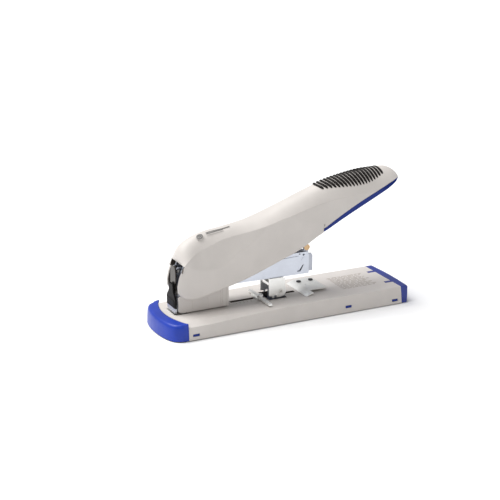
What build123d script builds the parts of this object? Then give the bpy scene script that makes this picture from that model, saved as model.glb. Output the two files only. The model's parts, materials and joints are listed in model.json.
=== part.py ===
from build123d import *
import os

# Heavy-duty long-arm stapler, millimetres.
# Working frame: X = 0 at the joint between the front cap and the base
# housing, +X towards the grip, Y = 0 on the middle plane, Z = 0 on the table.
# Everything is moved by SHIFT_X at export so that the box is centred on X = 0.

# ---- driving dimensions -------------------------------------------------
SHIFT_X = -112.4
HOUSING_L = 234.6        # straight length of the base housing
HALF_BOT = 38.0          # half width of the base at the table
HALF_TOP = 34.9          # half width of the deck at the back
DECK_Z = 17.5            # height of the deck
FOOT_H = 0.8             # rubber feet lift the base by this much
WALL = 2.0               # plastic wall of the base
NOSE_PIVOT = (13.0, 68.0)     # handle pin, X and Z
LEVER_PIVOT = (137.0, 53.0)  # inner lever pin
HINGE = (110.8, 24.2)        # main hinge of the upper part on the base
ROLLER = (54.0, 67.12)        # press roller centre
ROLLER_R = 4.6
LINK = (3.4, 60.0)           # pin between lever and driver
FRAME_Y = 9.0            # outer half width of the steel frame
FRAME_T = 1.5            # steel thickness
MAG_Y = 10.5             # outer half width of the magazine housing
PIN_FIT = 0.05           # radial clearance of a running pin
CROWN_HALF = 6.5         # half of the staple crown
BLADE_TRAVEL = 17.0
TRAY_TRAVEL = 58.0
COVER_WALL = 2.0

os.makedirs("parts", exist_ok=True)


def out(name, *solids):
    """Write one node."""
    flat = []
    for s in solids:
        flat += list(s.solids()) if hasattr(s, "solids") else [s]
    moved = [Pos(SHIFT_X, 0, 0) * s for s in flat]
    shape = moved[0] if len(moved) == 1 else Compound(children=moved)
    export_step(shape, "parts/" + name + ".step")


def box(x0, x1, y0, y1, z0, z1):
    return Pos((x0 + x1) / 2, (y0 + y1) / 2, (z0 + z1) / 2) * Box(
        x1 - x0, y1 - y0, z1 - z0
    )


def poly_xz(pts, y0, y1):
    """Polygon in X, Z swept along Y."""
    f = Face(Wire.make_polygon([(x, y0, z) for x, z in pts], close=True))
    return extrude(f, amount=y1 - y0, dir=(0, 1, 0))


def poly_xy(pts, z0, z1):
    f = Face(Wire.make_polygon([(x, y, z0) for x, y in pts], close=True))
    return extrude(f, amount=z1 - z0, dir=(0, 0, 1))


def poly_yz(pts, x0, x1):
    f = Face(Wire.make_polygon([(x0, y, z) for y, z in pts], close=True))
    return extrude(f, amount=x1 - x0, dir=(1, 0, 0))


def pin_y(x, z, r, y0, y1):
    """Round bar along Y."""
    return Pos(x, (y0 + y1) / 2, z) * Rot(90, 0, 0) * Cylinder(r, y1 - y0)


def pin_z(x, y, r, z0, z1):
    return Pos(x, y, (z0 + z1) / 2) * Cylinder(r, z1 - z0)


def pin_x(y, z, r, x0, x1):
    return Pos((x0 + x1) / 2, y, z) * Rot(0, 90, 0) * Cylinder(r, x1 - x0)


def interp(tab, x):
    """Smooth monotone curve through a table of points."""
    n = len(tab)
    if x <= tab[0][0]:
        return tab[0][1]
    if x >= tab[-1][0]:
        return tab[-1][1]
    d = [
        (tab[i + 1][1] - tab[i][1]) / (tab[i + 1][0] - tab[i][0]) for i in range(n - 1)
    ]
    m = [d[0]]
    for i in range(1, n - 1):
        if d[i - 1] * d[i] <= 0:
            m.append(0.0)
        else:
            m.append(2 * d[i - 1] * d[i] / (d[i - 1] + d[i]))
    m.append(d[-1])
    for i in range(n - 1):
        if x <= tab[i + 1][0]:
            h = tab[i + 1][0] - tab[i][0]
            t = (x - tab[i][0]) / h
            a, b = tab[i][1], tab[i + 1][1]
            return (
                (2 * t**3 - 3 * t**2 + 1) * a
                + (t**3 - 2 * t**2 + t) * h * m[i]
                + (-2 * t**3 + 3 * t**2) * b
                + (t**3 - t**2) * h * m[i + 1]
            )


def coil_z(x, y, r, wire, z0, z1, turns):
    """Compression spring standing along Z."""
    h = z1 - z0 - wire * 2
    path = Helix(pitch=h / turns, height=h, radius=r)
    prof = Plane(origin=path @ 0, z_dir=path % 0) * Circle(wire)
    return Pos(x, y, z0 + wire) * sweep(prof, path)


# ---- base ---------------------------------------------------------------
# parting arc between the deck and the front cap, radius 74 about the back
ARC_R = 74.0
ARC_CX = -9.5 + ARC_R


def arc_pts(r, half, n=17):
    pts = []
    for i in range(n):
        y = -half + 2 * half * i / (n - 1)
        pts.append((ARC_CX - (r * r - y * y) ** 0.5, y))
    return pts


def housing_body(dx, dz):
    """Outer form of the base housing, shrunk by dx all round and dz from the top."""
    z0 = FOOT_H if dz == 0 else -2.0
    top = DECK_Z - dz

    def sec(x, side, sh_y, sh_z):
        p = [
            (-(HALF_BOT - dx), z0),
            ((HALF_BOT - dx), z0),
            (side - dx, sh_z - dz * 0.6),
            (sh_y - dx * 0.8, top),
            (-(sh_y - dx * 0.8), top),
            (-(side - dx), sh_z - dz * 0.6),
        ]
        return Face(Wire.make_polygon([(x, a, b) for a, b in p], close=True))

    x_front = -12.0
    s0 = sec(x_front, 36.9, 28.3, 13.3)
    s1 = sec(24.0, 36.7, 28.6, 13.6)
    s2 = sec(66.0, 36.2, 31.0, 15.9)
    s3 = sec(122.0, 35.3, 34.4, 17.3)
    s4 = sec(HOUSING_L - dx, 35.3, 34.4, 17.3)
    body = loft([s0, s1], ruled=True) + loft([s1, s2], ruled=True)
    body = body + loft([s2, s3], ruled=True) + loft([s3, s4], ruled=True)
    # front end follows the parting arc, sides end on X = 0
    plan = [(HOUSING_L + 5, -45), (HOUSING_L + 5, 45), (0.0 + dx, 45)]
    plan += [(0.0 + dx, 38.5)]
    a = [(x + dx, y) for x, y in reversed(arc_pts(ARC_R, 36.5))]
    plan += a + [(0.0 + dx, -38.5), (0.0 + dx, -45)]
    return body & poly_xy(plan, -5, 30)


housing = housing_body(0, 0) - housing_body(WALL, WALL)
# rear wall stays closed, ribs inside
SLOT_W = 4.4
housing -= box(60, 97.0, -SLOT_W / 2, SLOT_W / 2, 10, 30)        # gauge slot
housing -= box(97.0, 131, -12.4, 12.4, 10, 30)                    # hinge well
housing += box(95.0, 97.0, -14.4, 14.4, 8.0, DECK_Z - 1.9)
housing += box(131, 133, -14.4, 14.4, 8.0, DECK_Z - 1.9)
# thin bridges at both sides of the well keep it narrow like the slot
housing += box(116.8, 131, -12.4, -2.2, DECK_Z - 2.0, DECK_Z)
housing += box(116.8, 131, 2.2, 12.4, DECK_Z - 2.0, DECK_Z)
# pocket for the anvil under the head
ANVIL = (-3.0, 13.0, -11.0, 11.0)
housing -= box(ANVIL[0], ANVIL[1], ANVIL[2], ANVIL[3], 10, 30)
for rib_x in (40, 160, 200):
    housing += box(rib_x, rib_x + 1.8, -35.0, 35.0, 7.0, DECK_Z - 1.9)
# windows for the snap tabs, both sides
TAB_X = (7.6, 173.0, 226.8)
TAB_Z = (5.3, 6.5, 4.6)
for tx, tz in zip(TAB_X, TAB_Z):
    for s in (-1, 1):
        y0, y1 = (30, 45) if s > 0 else (-45, -30)
        housing -= box(tx - 3.5, tx + 3.5, y0, y1, tz - 1.3, tz + 1.3)
# slots for the rear cap's tongues
for s in (-1, 1):
    housing -= box(226.5, 240, 17 * s - 2.2, 17 * s + 2.2, DECK_Z - 1.2, 30)
# screw holes of the rear plate
PLATE_HOLES = ((143.9, 14.6), (157.5, 14.6))
for hx, hy in PLATE_HOLES:
    housing -= pin_z(hx, hy, 1.25, 10, 30)
out("base_housing", housing)

# front cap: crescent with a soft rim
cap_pts = [(0, 38.0), (-6.8, 37.3), (-12.9, 33.9), (-16.6, 27.3), (-18.8, 19.4), (-20.2, 10.0),
           (-20.7, 0.0)]
cap_sp = cap_pts + [(x, -y) for x, y in reversed(cap_pts[:-1])]


def cap_outline(inset):
    pts = [(x + inset * (1 if x < -5 else 0), y * (38.0 - inset) / 38.0) for x, y in cap_sp]
    return Spline(*[(x, y, 0) for x, y in pts])


def cap_layer(inset, z):
    e = cap_outline(inset)
    a, b = e @ 0, e @ 1
    return Pos(0, 0, z) * Face(Wire([e, Edge.make_line(b, a)]))


cap = loft([cap_layer(0.0, FOOT_H), cap_layer(0.5, 14.2)], ruled=True)
cap += loft([cap_layer(0.5, 14.2), cap_layer(1.1, 16.0)], ruled=True)
cap += loft([cap_layer(1.1, 16.0), cap_layer(2.6, 17.3)], ruled=True)
# the shoulder of the housing runs on over the cap's ends
# bed for the housing front, 0.3 all round the arc
bed = [(6, -45), (6, 45), (-0.3, 45), (-0.3, 38.5)]
bed += [(x - 0.3, y) for x, y in reversed(arc_pts(ARC_R, 36.8))] + [(-0.3, -38.5), (-0.3, -45)]
cap -= poly_xy(bed, -5, 40)
cap -= poly_xy([(-12.4, -16.0), (-12.4, 16.0), (-15.6, 16.0), (-17.8, 6.0), (-17.8, -6.0), (-15.6, -16.0)], -5, 13.0)
print("front cap", cap.volume, len(cap.solids()))
out("front_cap", cap)

# rear cap
rc_side = [(HOUSING_L + 0.15, -HALF_BOT), (239.2, -HALF_BOT), (240.6, -37.6), (241.8, -36.6), (242.6, -35.0),
           (243.0, -33.0), (243.3, -29), (244.1, -15)]
rc = rc_side + [(244.5, 0)] + [(x, -y) for x, y in reversed(rc_side)]
rcap = extrude(Face(Wire.make_polygon([(x, y, FOOT_H) for x, y in rc], close=True)),
               amount=DECK_Z - FOOT_H + 0.1, dir=(0, 0, 1))
rcap &= poly_yz([(-HALF_BOT, 0), (HALF_BOT, 0), (35.4, 17.2), (34.6, 17.7), (-34.6, 17.7), (-35.4, 17.2)],
                200, 260)
rim = rcap.edges().filter_by(lambda e: e.center().Z > 17.4 and e.center().X > 236)
try:
    rcap = fillet(rim, 1.6)
except Exception:
    pass
rcap -= box(230, 241.4, -33.6, 33.6, -2, 15.2)
for s in (-1, 1):
    rcap += box(227.0, 236.0, 17 * s - 1.9, 17 * s + 1.9, DECK_Z - 1.15, DECK_Z + 0.1)
out("rear_cap", rcap)

# bottom tray with snap tabs
tray = box(-9.0, 232.0, -34.7, 34.7, FOOT_H + 0.1, FOOT_H + 2.1)
tray &= poly_xy([(300, -45), (300, 45), (3, 45), (3, 36)] +
                [(x + 2.5, y) for x, y in reversed(arc_pts(ARC_R, 35.5))] + [(3, -36), (3, -45)], -5, 30)
for tx, tz in zip(TAB_X, TAB_Z):
    for s in (-1, 1):
        a, b = sorted((s * 33.0, s * 34.4))
        tray += box(tx - 3.2, tx + 3.2, a, b, FOOT_H + 0.5, tz + 1.1)
        a, b = sorted((s * 34.2, s * 37.3))
        tray += box(tx - 3.2, tx + 3.2, a, b, tz - 1.1, tz + 1.1)
FEET = ((16, 24), (16, -24), (214, 24), (214, -24))
SCREWS = ((34, 26), (34, -26), (190, 26), (190, -26))
for fx, fy in FEET:
    tray -= pin_z(fx, fy, 5.0, 0, FOOT_H + 1.2)
for sx, sy in SCREWS:
    tray -= pin_z(sx, sy, 1.6, 0, 6)
    tray -= pin_z(sx, sy, 3.1, 0, FOOT_H + 1.3)
out("bottom_tray", tray)

feet = [pin_z(fx, fy, 4.95, 0.0, FOOT_H + 1.2) for fx, fy in FEET]
out("rubber_feet", *feet)
scr = []
for sx, sy in SCREWS:
    s = pin_z(sx, sy, 2.9, FOOT_H + 0.35, FOOT_H + 1.3) + pin_z(sx, sy, 1.5, FOOT_H + 1.2, 13.0)
    s -= box(sx - 2.2, sx + 2.2, sy - 0.35, sy + 0.35, 0, FOOT_H + 0.8)
    s -= box(sx - 0.35, sx + 0.35, sy - 2.2, sy + 2.2, 0, FOOT_H + 0.8)
    scr.append(s)
out("tray_screws", *scr)
# steel spine under the deck carries the anvil and the hinge bracket
spine = box(-5.4, 39.8, -13.0, 13.0, 5.0, 6.6)
spine += box(-2.8, 12.8, -10.8, 10.8, 6.5, 13.2)
spine -= box(-1.3, 11.3, -9.3, 9.3, 4.0, 11.8)
spine += box(39.0, 130.5, -9.0, 9.0, 5.0, 6.6)
spine += box(39.0, 94.8, -9.0, -7.4, 5.0, 10.0) + box(39.0, 94.8, 7.4, 9.0, 5.0, 10.0)
spine -= box(39.9, 41.9, -36, 36, 6.9, 12)
out("base_spine", spine)

anvil = box(ANVIL[0] + 0.05, ANVIL[1] - 0.05, ANVIL[2] + 0.05, ANVIL[3] - 0.05, 13.3, DECK_Z + 0.15)
for s in (-1, 1):
    anvil -= Pos(1.6, s * 3.4, DECK_Z + 0.65) * Rot(0, 90, 90) * Cylinder(1.5, 5.4)
    anvil -= pin_z(9.2, s * 7.4, 1.3, 10, 30)
    anvil -= pin_z(9.2, s * 7.4, 2.1, DECK_Z - 0.9, 30)
out("anvil_plate", anvil)
out("anvil_screws", *[pin_z(9.2, s * 7.4, 2.0, DECK_Z - 0.85, DECK_Z + 0.05)
                      + pin_z(9.2, s * 7.4, 1.25, 13.35, DECK_Z - 0.8)
                      - box(7.4, 11.0, s * 7.4 - 0.3, s * 7.4 + 0.3, DECK_Z - 0.4, 30) for s in (-1, 1)])

# hinge bracket: two ears through the deck
hx, hz = HINGE
ear = [(104.6, 6.65), (117.0, 6.65), (116.4, hz + 2), (114.8, hz + 4.6), (110.8, hz + 5.6),
       (106.8, hz + 4.6), (105.2, hz + 2)]
bracket = box(99.5, 118.0, -8.1, 8.1, 6.65, 8.2)
for s in (-1, 1):
    a, b = sorted((s * 6.6, s * 8.1))
    bracket += poly_xz(ear, a, b)
bracket -= pin_y(hx, hz, 2.5, -20, 20)
out("hinge_bracket", bracket)
hpin = pin_y(hx, hz, 2.5, -10.6, 10.6)
for s in (-1, 1):
    a, b = sorted((s * 9.2, s * 12.0))
    hpin -= pin_y(hx, hz, 1.15, a, b)
out("hinge_pin", hpin)

# rear plate: thin pressed sheet with a sloped front flange
rp = poly_xz([(134.0, 18.0), (135.0, 18.35), (141.4, 20.75), (142.4, 20.75), (142.4, 19.75), (141.7, 19.75),
              (135.6, 17.55), (134.0, 17.55)], -20.0, 22.5)
rp += box(142.0, 162.0, -11.0, 22.5, 19.75, 20.75)
rp += box(142.0, 162.0, 21.5, 22.5, DECK_Z + 0.05, 20.0)
for px, py in PLATE_HOLES:
    rp -= pin_z(px, py, 1.5, 10, 30)
for px in (146.5, 152.0, 157.5):
    rp -= pin_z(px, 4.6, 0.6, 10, 30)
out("rear_plate", rp)
out("rear_plate_screws", *[pin_z(x, y, 2.4, 20.78, 21.7) + pin_z(x, y, 1.2, 11.0, 20.8)
                           - box(x - 1.9, x + 1.9, y - 0.3, y + 0.3, 21.3, 30) for x, y in PLATE_HOLES])

# ---- paper gauge --------------------------------------------------------
GX = 89.0
gauge = poly_yz([(-31.0, 19.2), (-31.0, 20.5), (-30.2, 21.2), (15.2, 21.2), (16.0, 20.5), (16.0, 19.2)],
                GX - 1.8, GX + 1.8)
gauge += pin_z(GX, -9.0, 2.7, 19.2, 21.2)
gauge += box(GX - 2.9, GX + 2.9, -7.0, 7.0, 17.85, 19.3)
gauge += box(GX - 2.6, GX + 2.6, -1.85, 1.85, 12.6, 18.0)
gauge += box(GX - 2.6, GX + 2.6, -5.0, 5.0, 11.4, 13.0)
gauge -= pin_z(GX, -9.0, 1.3, 18, 30)
out("paper_gauge", gauge)
knob = pin_z(GX, -9.0, 2.8, 21.22, 24.4)
knob = fillet(knob.edges().filter_by(lambda e: e.center().Z > 24.2), 1.2)
knob += pin_z(GX, -9.0, 1.28, 19.4, 21.4)
out("gauge_knob", knob)

# ---- upper frame --------------------------------------------------------
RIVET_X = (102.0, 110.0)     # rivets through the floors of the channels
STOP = (140.2, 65.2)         # bar that stops the handle
nx, nz = NOSE_PIVOT
lx, lz = LEVER_PIVOT
side = [(4.6, 40.3), (58.0, 40.3), (60.0, 39.3), (142.5, 38.0), (142.5, 57.3), (141.0, 60.7),
        (128.0, 60.7), (100.0, 58.4), (74.0, 57.0), (66.0, 52.0), (36.0, 52.0), (25.0, 56.0),
        (18.6, 64.0), (17.8, 69.5), (15.4, 72.4), (10.9, 72.4), (8.8, 70.6), (8.4, 66.0), (5.2, 60.0)]
frame = None
for s in (-1, 1):
    a, b = sorted((s * (FRAME_Y - FRAME_T), s * FRAME_Y))
    p = poly_xz(side, a, b)
    frame = p if frame is None else frame + p
frame += poly_xz([(60.0, 39.3), (142.5, 38.0), (142.5, 39.5), (60.0, 40.8)],
                 -(FRAME_Y - 0.5), FRAME_Y - 0.5)
# long pressed rib on each side, standing 0.5 proud, with a round end
for s in (-1, 1):
    a, b = sorted((s * (FRAME_Y - 0.3), s * (FRAME_Y + 0.5)))
    rib = poly_xz([(96.0, 53.2), (130.3, 54.1), (130.3, 57.3), (96.0, 56.2)], a, b)
    rib += pin_y(130.3, 55.7, 1.6, a, b)
    frame += rib
frame -= pin_y(nx, nz, 2.6, -20, 20)
frame -= pin_y(lx, lz, 2.5, -20, 20)
for rx in RIVET_X:
    for ry in (-4.0, 4.0):
        frame -= pin_z(rx, ry, 1.12, 30, 45)
for qx, qz, qr in ((118.0, 59.0, 0.7), (132.2, 59.2, 0.7), (136.6, 58.0, 1.1)):
    frame -= pin_y(qx, qz, qr, -20, 20)
# J-shaped slot
frame -= poly_xz([(135.6, 47.4), (136.9, 47.9), (133.6, 41.6), (132.9, 41.0), (129.7, 39.9),
                  (129.7, 42.4), (132.0, 42.4)], -20, 20) & box(100, 150, -20, 20, 41.0, 60)
out("frame_channel", frame)

liner = None
for s in (-1, 1):
    a, b = sorted((s * 6.0, s * 7.4))
    p = poly_xz([(84.0, 41.3), (147.5, 40.2), (147.5, 55.6), (145.8, 58.1), (90.0, 56.0)], a, b)
    liner = p if liner is None else liner + p
liner += box(146.1, 147.5, -6.2, 6.2, 40.3, 55.4)
liner += poly_xz([(84.0, 40.42), (147.5, 39.5), (147.5, 41.0), (84.0, 41.9)], -7.0, 7.0)
liner -= pin_y(lx, lz, 2.5, -20, 20)
liner -= poly_xz([(135.6, 47.4), (136.9, 47.9), (133.6, 41.6), (129.7, 40.6), (129.7, 42.4), (132.0, 42.4)],
                 -20, 20) & box(100, 150, -20, 20, 42.0, 60)
liner -= box(72.0, 88.0, -5.0, 5.0, 38, 45)
# two ears at the rear top hold the stop bar
for s in (-1, 1):
    a, b = sorted((s * 6.0, s * 7.4))
    liner += poly_xz([(136.6, 57.0), (142.8, 57.0), (142.6, 66.3), (140.2, 67.6), (137.8, 66.3)], a, b)
liner -= pin_y(STOP[0], STOP[1], 1.6, -20, 20)
for rx in RIVET_X:
    for ry in (-4.0, 4.0):
        liner -= pin_z(rx, ry, 1.12, 30, 45)
out("inner_channel", liner)

legs = None
leg = [(98.0, 18.3), (110.8, 18.3), (114.4, 19.5), (116.3, 22.0), (116.6, 24.2), (116.3, 27.0),
       (115.5, 30.4), (115.5, 36.9), (113.5, 38.4), (98.0, 38.65)]
for s in (-1, 1):
    a, b = sorted((s * 9.05, s * 10.35))
    p = poly_xz(leg, a, b)
    legs = p if legs is None else legs + p
# web under the frame floor
legs += poly_xz([(99.0, 37.0), (113.0, 37.0), (113.0, 38.40), (99.0, 38.60)], -9.4, 9.4)
for rx in RIVET_X:
    for ry in (-4.0, 4.0):
        legs -= pin_z(rx, ry, 1.12, 35, 45)
legs += box(98.0, 103.2, -10.0, 10.0, 33.0, 34.4)
legs += box(99.2, 103.0, -9.6, 9.6, 30.6, 33.1)
legs -= pin_y(hx, hz, 2.55, -20, 20)
for s in (-1, 1):
    a, b = sorted((s * 9.0, s * 12))
    legs -= box(98.0 - 1, 101.4, a, b, 17, 20.6)
    legs -= box(103.4, 106.4, a, b, 17, 20.6)
out("hinge_legs", legs)
riv = []
for rx in RIVET_X:
    for ry in (-4.0, 4.0):
        riv.append(pin_z(rx, ry, 1.08, 36.6, 42.2) + pin_z(rx, ry, 1.9, 36.1, 36.95)
                   + pin_z(rx, ry, 1.9, 41.75, 42.6))
out("leg_rivets", *riv)

# magazine housing: open-ended box under the frame
mag = box(1.0, 54.0, -MAG_Y, MAG_Y, 18.6, 44.0)
mag -= box(-5, 60, -(MAG_Y - 1.4), MAG_Y - 1.4, 20.0, 50)
mag -= poly_xz([(-2, 16), (4.4, 16), (4.4, 18.6), (1.0, 20.4), (-2, 22)], -20, 20)
for gx in (15.0, 31.8, 45.0, 47.0, 51.2):
    for s in (-1, 1):
        a, b = sorted((s * (MAG_Y - 0.3), s * (MAG_Y + 1)))
        mag -= box(gx - 0.2, gx + 0.2, a, b, 18, 45)
# light notch in the front edge
mag -= poly_xz([(-1, 33.0), (3.4, 35.6), (3.4, 38.4), (-1, 38.4)], -20, 20)
mag -= box(-5, 60, -(FRAME_Y + 0.02), FRAME_Y + 0.02, 38.0, 50)
mag += box(52.6, 54.0, -9.6, 9.6, 19.8, 24.0)
out("magazine_housing", mag)
guide = None
for s in (-1, 1):
    a, b = sorted((s * 7.1, s * 8.3))
    p = box(1.9, 52.0, a, b, 20.05, 37.8)
    guide = p if guide is None else guide + p
    a, b = sorted((s * 8.2, s * 9.08))
    guide += box(8.0, 46.0, a, b, 30.0, 36.0)
out("staple_guide", guide)

np_ = pin_y(nx, nz, 2.6, -12.4, 12.4)
for s in (-1, 1):
    a, b = sorted((s * 11.75, s * 12.15))
    np_ -= pin_y(nx, nz, 4.0, a, b) - pin_y(nx, nz, 2.0, a - 1, b + 1)
out("handle_pivot_pin", np_)
clips = []
for s in (-1, 1):
    a, b = sorted((s * 11.78, s * 12.12))
    c = pin_y(nx, nz, 3.6, a, b) - pin_y(nx, nz, 2.02, a - 1, b + 1)
    c -= box(nx, nx + 8, a - 1, b + 1, nz - 1.2, nz + 1.2)
    clips.append(c)
out("pivot_clips", *clips)
out("lever_pivot_pin", pin_y(lx, lz, 2.5, -9.25, 9.25))
out("stop_bar", pin_y(STOP[0], STOP[1], 1.6, -9.2, 9.2))
sleeve = []
for s in (-1, 1):
    a, b = sorted((s * 7.5, s * 9.3))
    sleeve.append(pin_y(STOP[0], STOP[1], 3.1, a, b) - pin_y(STOP[0], STOP[1], 1.62, -20, 20))
out("stop_sleeve", *sleeve)

# ---- loading tray -------------------------------------------------------
# black front plate with sloped shoulders and a neck
head = poly_yz([(-10.3, 23.6), (10.3, 23.6), (10.3, 33.0), (5.0, 39.6), (4.6, 45.5), (3.6, 47.0), (-3.6, 47.0),
                (-4.6, 45.5), (-5.0, 39.6), (-10.3, 33.0)], -2.4, -0.5)
head += box(-2.9, -2.3, -8.0, 8.0, 24.6, 31.5)
out("head_plate", head)
rail = box(1.6, 51.0, -5.6, 5.6, 20.4, 36.1) - box(0, 60, -4.4, 4.4, 19, 34.9)
rail += box(1.6, 2.8, -5.6, 5.6, 20.4, 36.1)
rail -= pin_x(0, 27.5, 1.52, 0, 4)
rail += box(49.6, 51.0, -5.0, 5.0, 20.4, 36.0)
rail -= pin_x(0, 27.5, 1.52, 49, 55)
rail -= box(31.0, 46.5, -1.3, 1.3, 34.0, 37.0)
# links from the rail to the front plate, outside the driver's path
for s in (-1, 1):
    a, b = sorted((s * 6.6, s * 7.0))
    rail += box(-0.45, 30.0, a, b, 20.15, 23.0) - box(1.0, 30.0, a, b, 20.7, 24)
    a, b = sorted((s * 5.5, s * 7.0))
    rail += box(16.0, 30.0, a, b, 20.15, 20.65)
# bent foot of the rail, below the front plate
rail += poly_yz([(-8.8, 19.0), (8.8, 19.0), (9.6, 20.6), (9.6, 23.5), (-9.6, 23.5), (-9.6, 20.6)], -2.1, -0.45)
out("staple_rail", rail)
stp = box(2.0, 30.0, -CROWN_HALF, CROWN_HALF, 21.0, 37.0) - box(1, 31, -5.85, 5.85, 19, 36.35)
out("staple_strip", stp)
rod = pin_x(0, 27.5, 1.5, 1.3, 52.4)
out("pusher_rod", rod)
push = box(30.2, 37.5, -6.4, 6.4, 22.0, 37.0) - box(29, 39, -5.9, 5.9, 20, 36.4)
push += box(30.4, 37.3, -1.9, 1.9, 24.6, 30.4)
push += box(30.4, 37.3, -0.7, 0.7, 30.3, 34.4)
push -= pin_x(0, 27.5, 1.56, 25, 45)
lug = box(31.5, 36.5, -4.0, 4.0, 30.9, 34.5)
push += lug
# the block inside the rail joins the outer saddle through a slot in the rail top
push += box(32.0, 36.0, -0.9, 0.9, 34.4, 36.5)
out("pusher", push)


def coil_x(y, z, r, wire, x0, x1, turns):
    """Compression spring lying along X."""
    h = x1 - x0 - wire * 2
    path = Helix(pitch=h / turns, height=h, radius=r)
    prof = Plane(origin=path @ 0, z_dir=path % 0) * Circle(wire)
    return Pos(x0 + wire, y, z) * Rot(0, 90, 0) * sweep(prof, path)


out("pusher_spring", coil_x(0, 27.5, 2.3, 0.4, 37.7, 49.4, 6.5))

# ---- driver and lever ---------------------------------------------------
kx, kz = LINK
blade = box(0.1, 1.0, -6.3, 6.3, 37.7, 56.5)
blade += poly_yz([(-6.3, 56.4), (6.3, 56.4), (5.0, 62.4), (3.2, 64.2), (-3.2, 64.2), (-5.0, 62.4)], 0.1, 1.0)
for s in (-1, 1):
    a, b = sorted((s * 1.2, s * 2.7))
    lug = poly_xz([(0.6, 57.0), (4.6, 57.4), (6.0, 58.8), (6.0, 61.4), (4.6, 62.8), (0.6, 63.6)], a, b)
    blade += lug
blade -= pin_y(kx, kz, 1.5, -20, 20)
out("driver_blade", blade)
out("link_pin", pin_y(kx, kz, 1.5, -5.7, 5.7))

lever = None
prof = [(1.3, 61.2), (1.3, 58.8), (3.4, 56.6), (20.0, 55.6), (60.0, 51.6), (100.0, 48.8), (131.5, 47.8),
        (136.0, 47.2), (140.5, 48.6), (142.6, 52.0), (142.2, 55.4), (139.0, 57.2), (100.0, 59.4), (58.0, 62.2),
        (44.0, 62.2), (20.0, 62.8), (3.4, 63.2)]
for s in (-1, 1):
    a, b = sorted((s * 3.4, s * 4.9))
    p = poly_xz(prof, a, b)
    lever = p if lever is None else lever + p
lever += poly_xz([(20.0, 61.4), (44.0, 60.8), (58.0, 60.8), (100.0, 58.0), (100.0, 59.4), (58.0, 62.2),
                  (44.0, 62.2), (20.0, 62.8)], -4.0, 4.0)
# long hole for the link pin
lever -= pin_y(2.9, kz, 1.85, -20, 20) + pin_y(4.4, kz, 1.85, -20, 20) + box(2.9, 4.4, -20, 20, kz - 1.85, kz + 1.85)
lever -= pin_y(lx, lz, 2.55, -20, 20)
# room for the handle pin above the lever
out("drive_lever", lever)
out("return_spring", coil_z(80.0, 0, 2.3, 0.45, 42.3, 58.7, 7))

# ---- handle -------------------------------------------------------------
TOP = [(-3, 77.5), (3, 80.7), (10, 84.6), (18.5, 88.1), (29, 92.0), (39.4, 94.7), (50, 96.3), (60.6, 97.8),
       (71.2, 99.3), (82, 101.3), (92.8, 104.2), (103.6, 107.8), (114.5, 111.6), (125.5, 115.5),
       (136.5, 119.4), (147.5, 123.2), (158.7, 126.9), (170, 129.8), (181, 132.0), (192.6, 133.9),
       (204, 135.3), (215.5, 135.9), (227.3, 135.6), (240, 134.2), (252, 132.0)]
CREASE = [(-3, 61.0), (8, 68.0), (16.5, 76.0), (32, 82.6), (43.5, 86.6), (67.8, 90.9), (80.5, 93.2),
          (95.6, 96.6), (120.9, 103.0), (143, 109.0), (165, 112.8), (186, 114.8), (212, 116.4), (225, 117.2),
          (240, 118.2), (252, 119.0)]
HALF = [(-3, 15.0), (8, 16.0), (30, 16.6), (80, 17.0), (140, 17.5), (200, 17.7), (225, 17.3), (240, 16.2),
        (252, 14.8)]
STATIONS = [-3, 4, 12, 24, 40, 60, 82, 104, 126, 148, 170, 192, 214, 232, 252]


def dome(off, x0=-3.0, zb=20.0):
    """Lofted body under the crowned top, all faces moved in by off."""
    secs = []
    for x in STATIONS:
        x = max(x, x0)
        w, zc, zt = interp(HALF, x) - off, interp(CREASE, x) - off * 0.6, interp(TOP, x) - off
        pts = []
        for i in range(9):
            y = w - 2 * w * i / 8
            pts.append((x, y, zc + (zt - zc) * (1 - abs(y / w) ** 2.2)))
        a, b = (x, -w, zb), (x, w, zb)
        wire = Wire([Edge.make_line(a, b), Edge.make_line(b, pts[0]), Spline(*pts),
                     Edge.make_line(pts[-1], a)])
        secs.append(Face(wire))
    return loft(secs)


def outline(top, bottom, y=40.0):
    """Side outline swept over the whole width."""
    e = [Spline(*[(x, -y, z) for x, z in top]), Spline(*[(x, -y, z) for x, z in bottom])]
    a, b = top[-1], bottom[0]
    if a != b:
        e.insert(1, Edge.make_line((a[0], -y, a[1]), (b[0], -y, b[1])))
    a, b = bottom[-1], top[0]
    if a != b:
        e.append(Edge.make_line((a[0], -y, a[1]), (b[0], -y, b[1])))
    return extrude(Face(Wire(e)), amount=2 * y, dir=(0, 1, 0))


EDGE_TOP = [(5.4, 66.6), (4.4, 69.0), (3.9, 72.5), (4.2, 76.0), (5.8, 79.6), (9.0, 82.7), (14.0, 85.6),
            (18.5, 87.6), (29, 91.8)]
NOSE_EDGE = [(5.4, 66.6), (2.9, 60.0), (0.6, 53.6), (-0.9, 46.6), (0.4, 40.0), (4.0, 35.6), (9.8, 32.9)]
LOW_EDGE = [(9.8, 32.9), (17.0, 33.2), (29.1, 34.9), (39.1, 37.6), (52.7, 40.8), (67.6, 44.6), (84.0, 50.2),
            (100.1, 56.0), (114.4, 61.5), (128.7, 67.2), (138.0, 72.2), (146.0, 76.9), (153.7, 81.3)]
STRIP_EDGE = [(153.7, 84.2), (159.6, 87.7), (173.0, 95.4), (186.4, 102.8), (200.0, 109.4), (213.6, 115.4),
              (227.3, 121.3), (234.3, 123.9), (239.5, 125.4)]
STRIP_LOW = [(153.9, 81.4), (159.7, 84.0), (173.1, 91.0), (186.6, 97.6), (200.1, 104.0), (213.8, 110.4),
             (227.5, 116.8), (234.4, 120.4), (239.5, 123.4)]
REAR = [(239.5, 125.4), (242.4, 125.6), (244.4, 126.0), (244.9, 127.0), (244.0, 128.6), (240.6, 131.4),
        (236.4, 133.5), (231.8, 134.9), (227.3, 135.5)]

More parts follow.
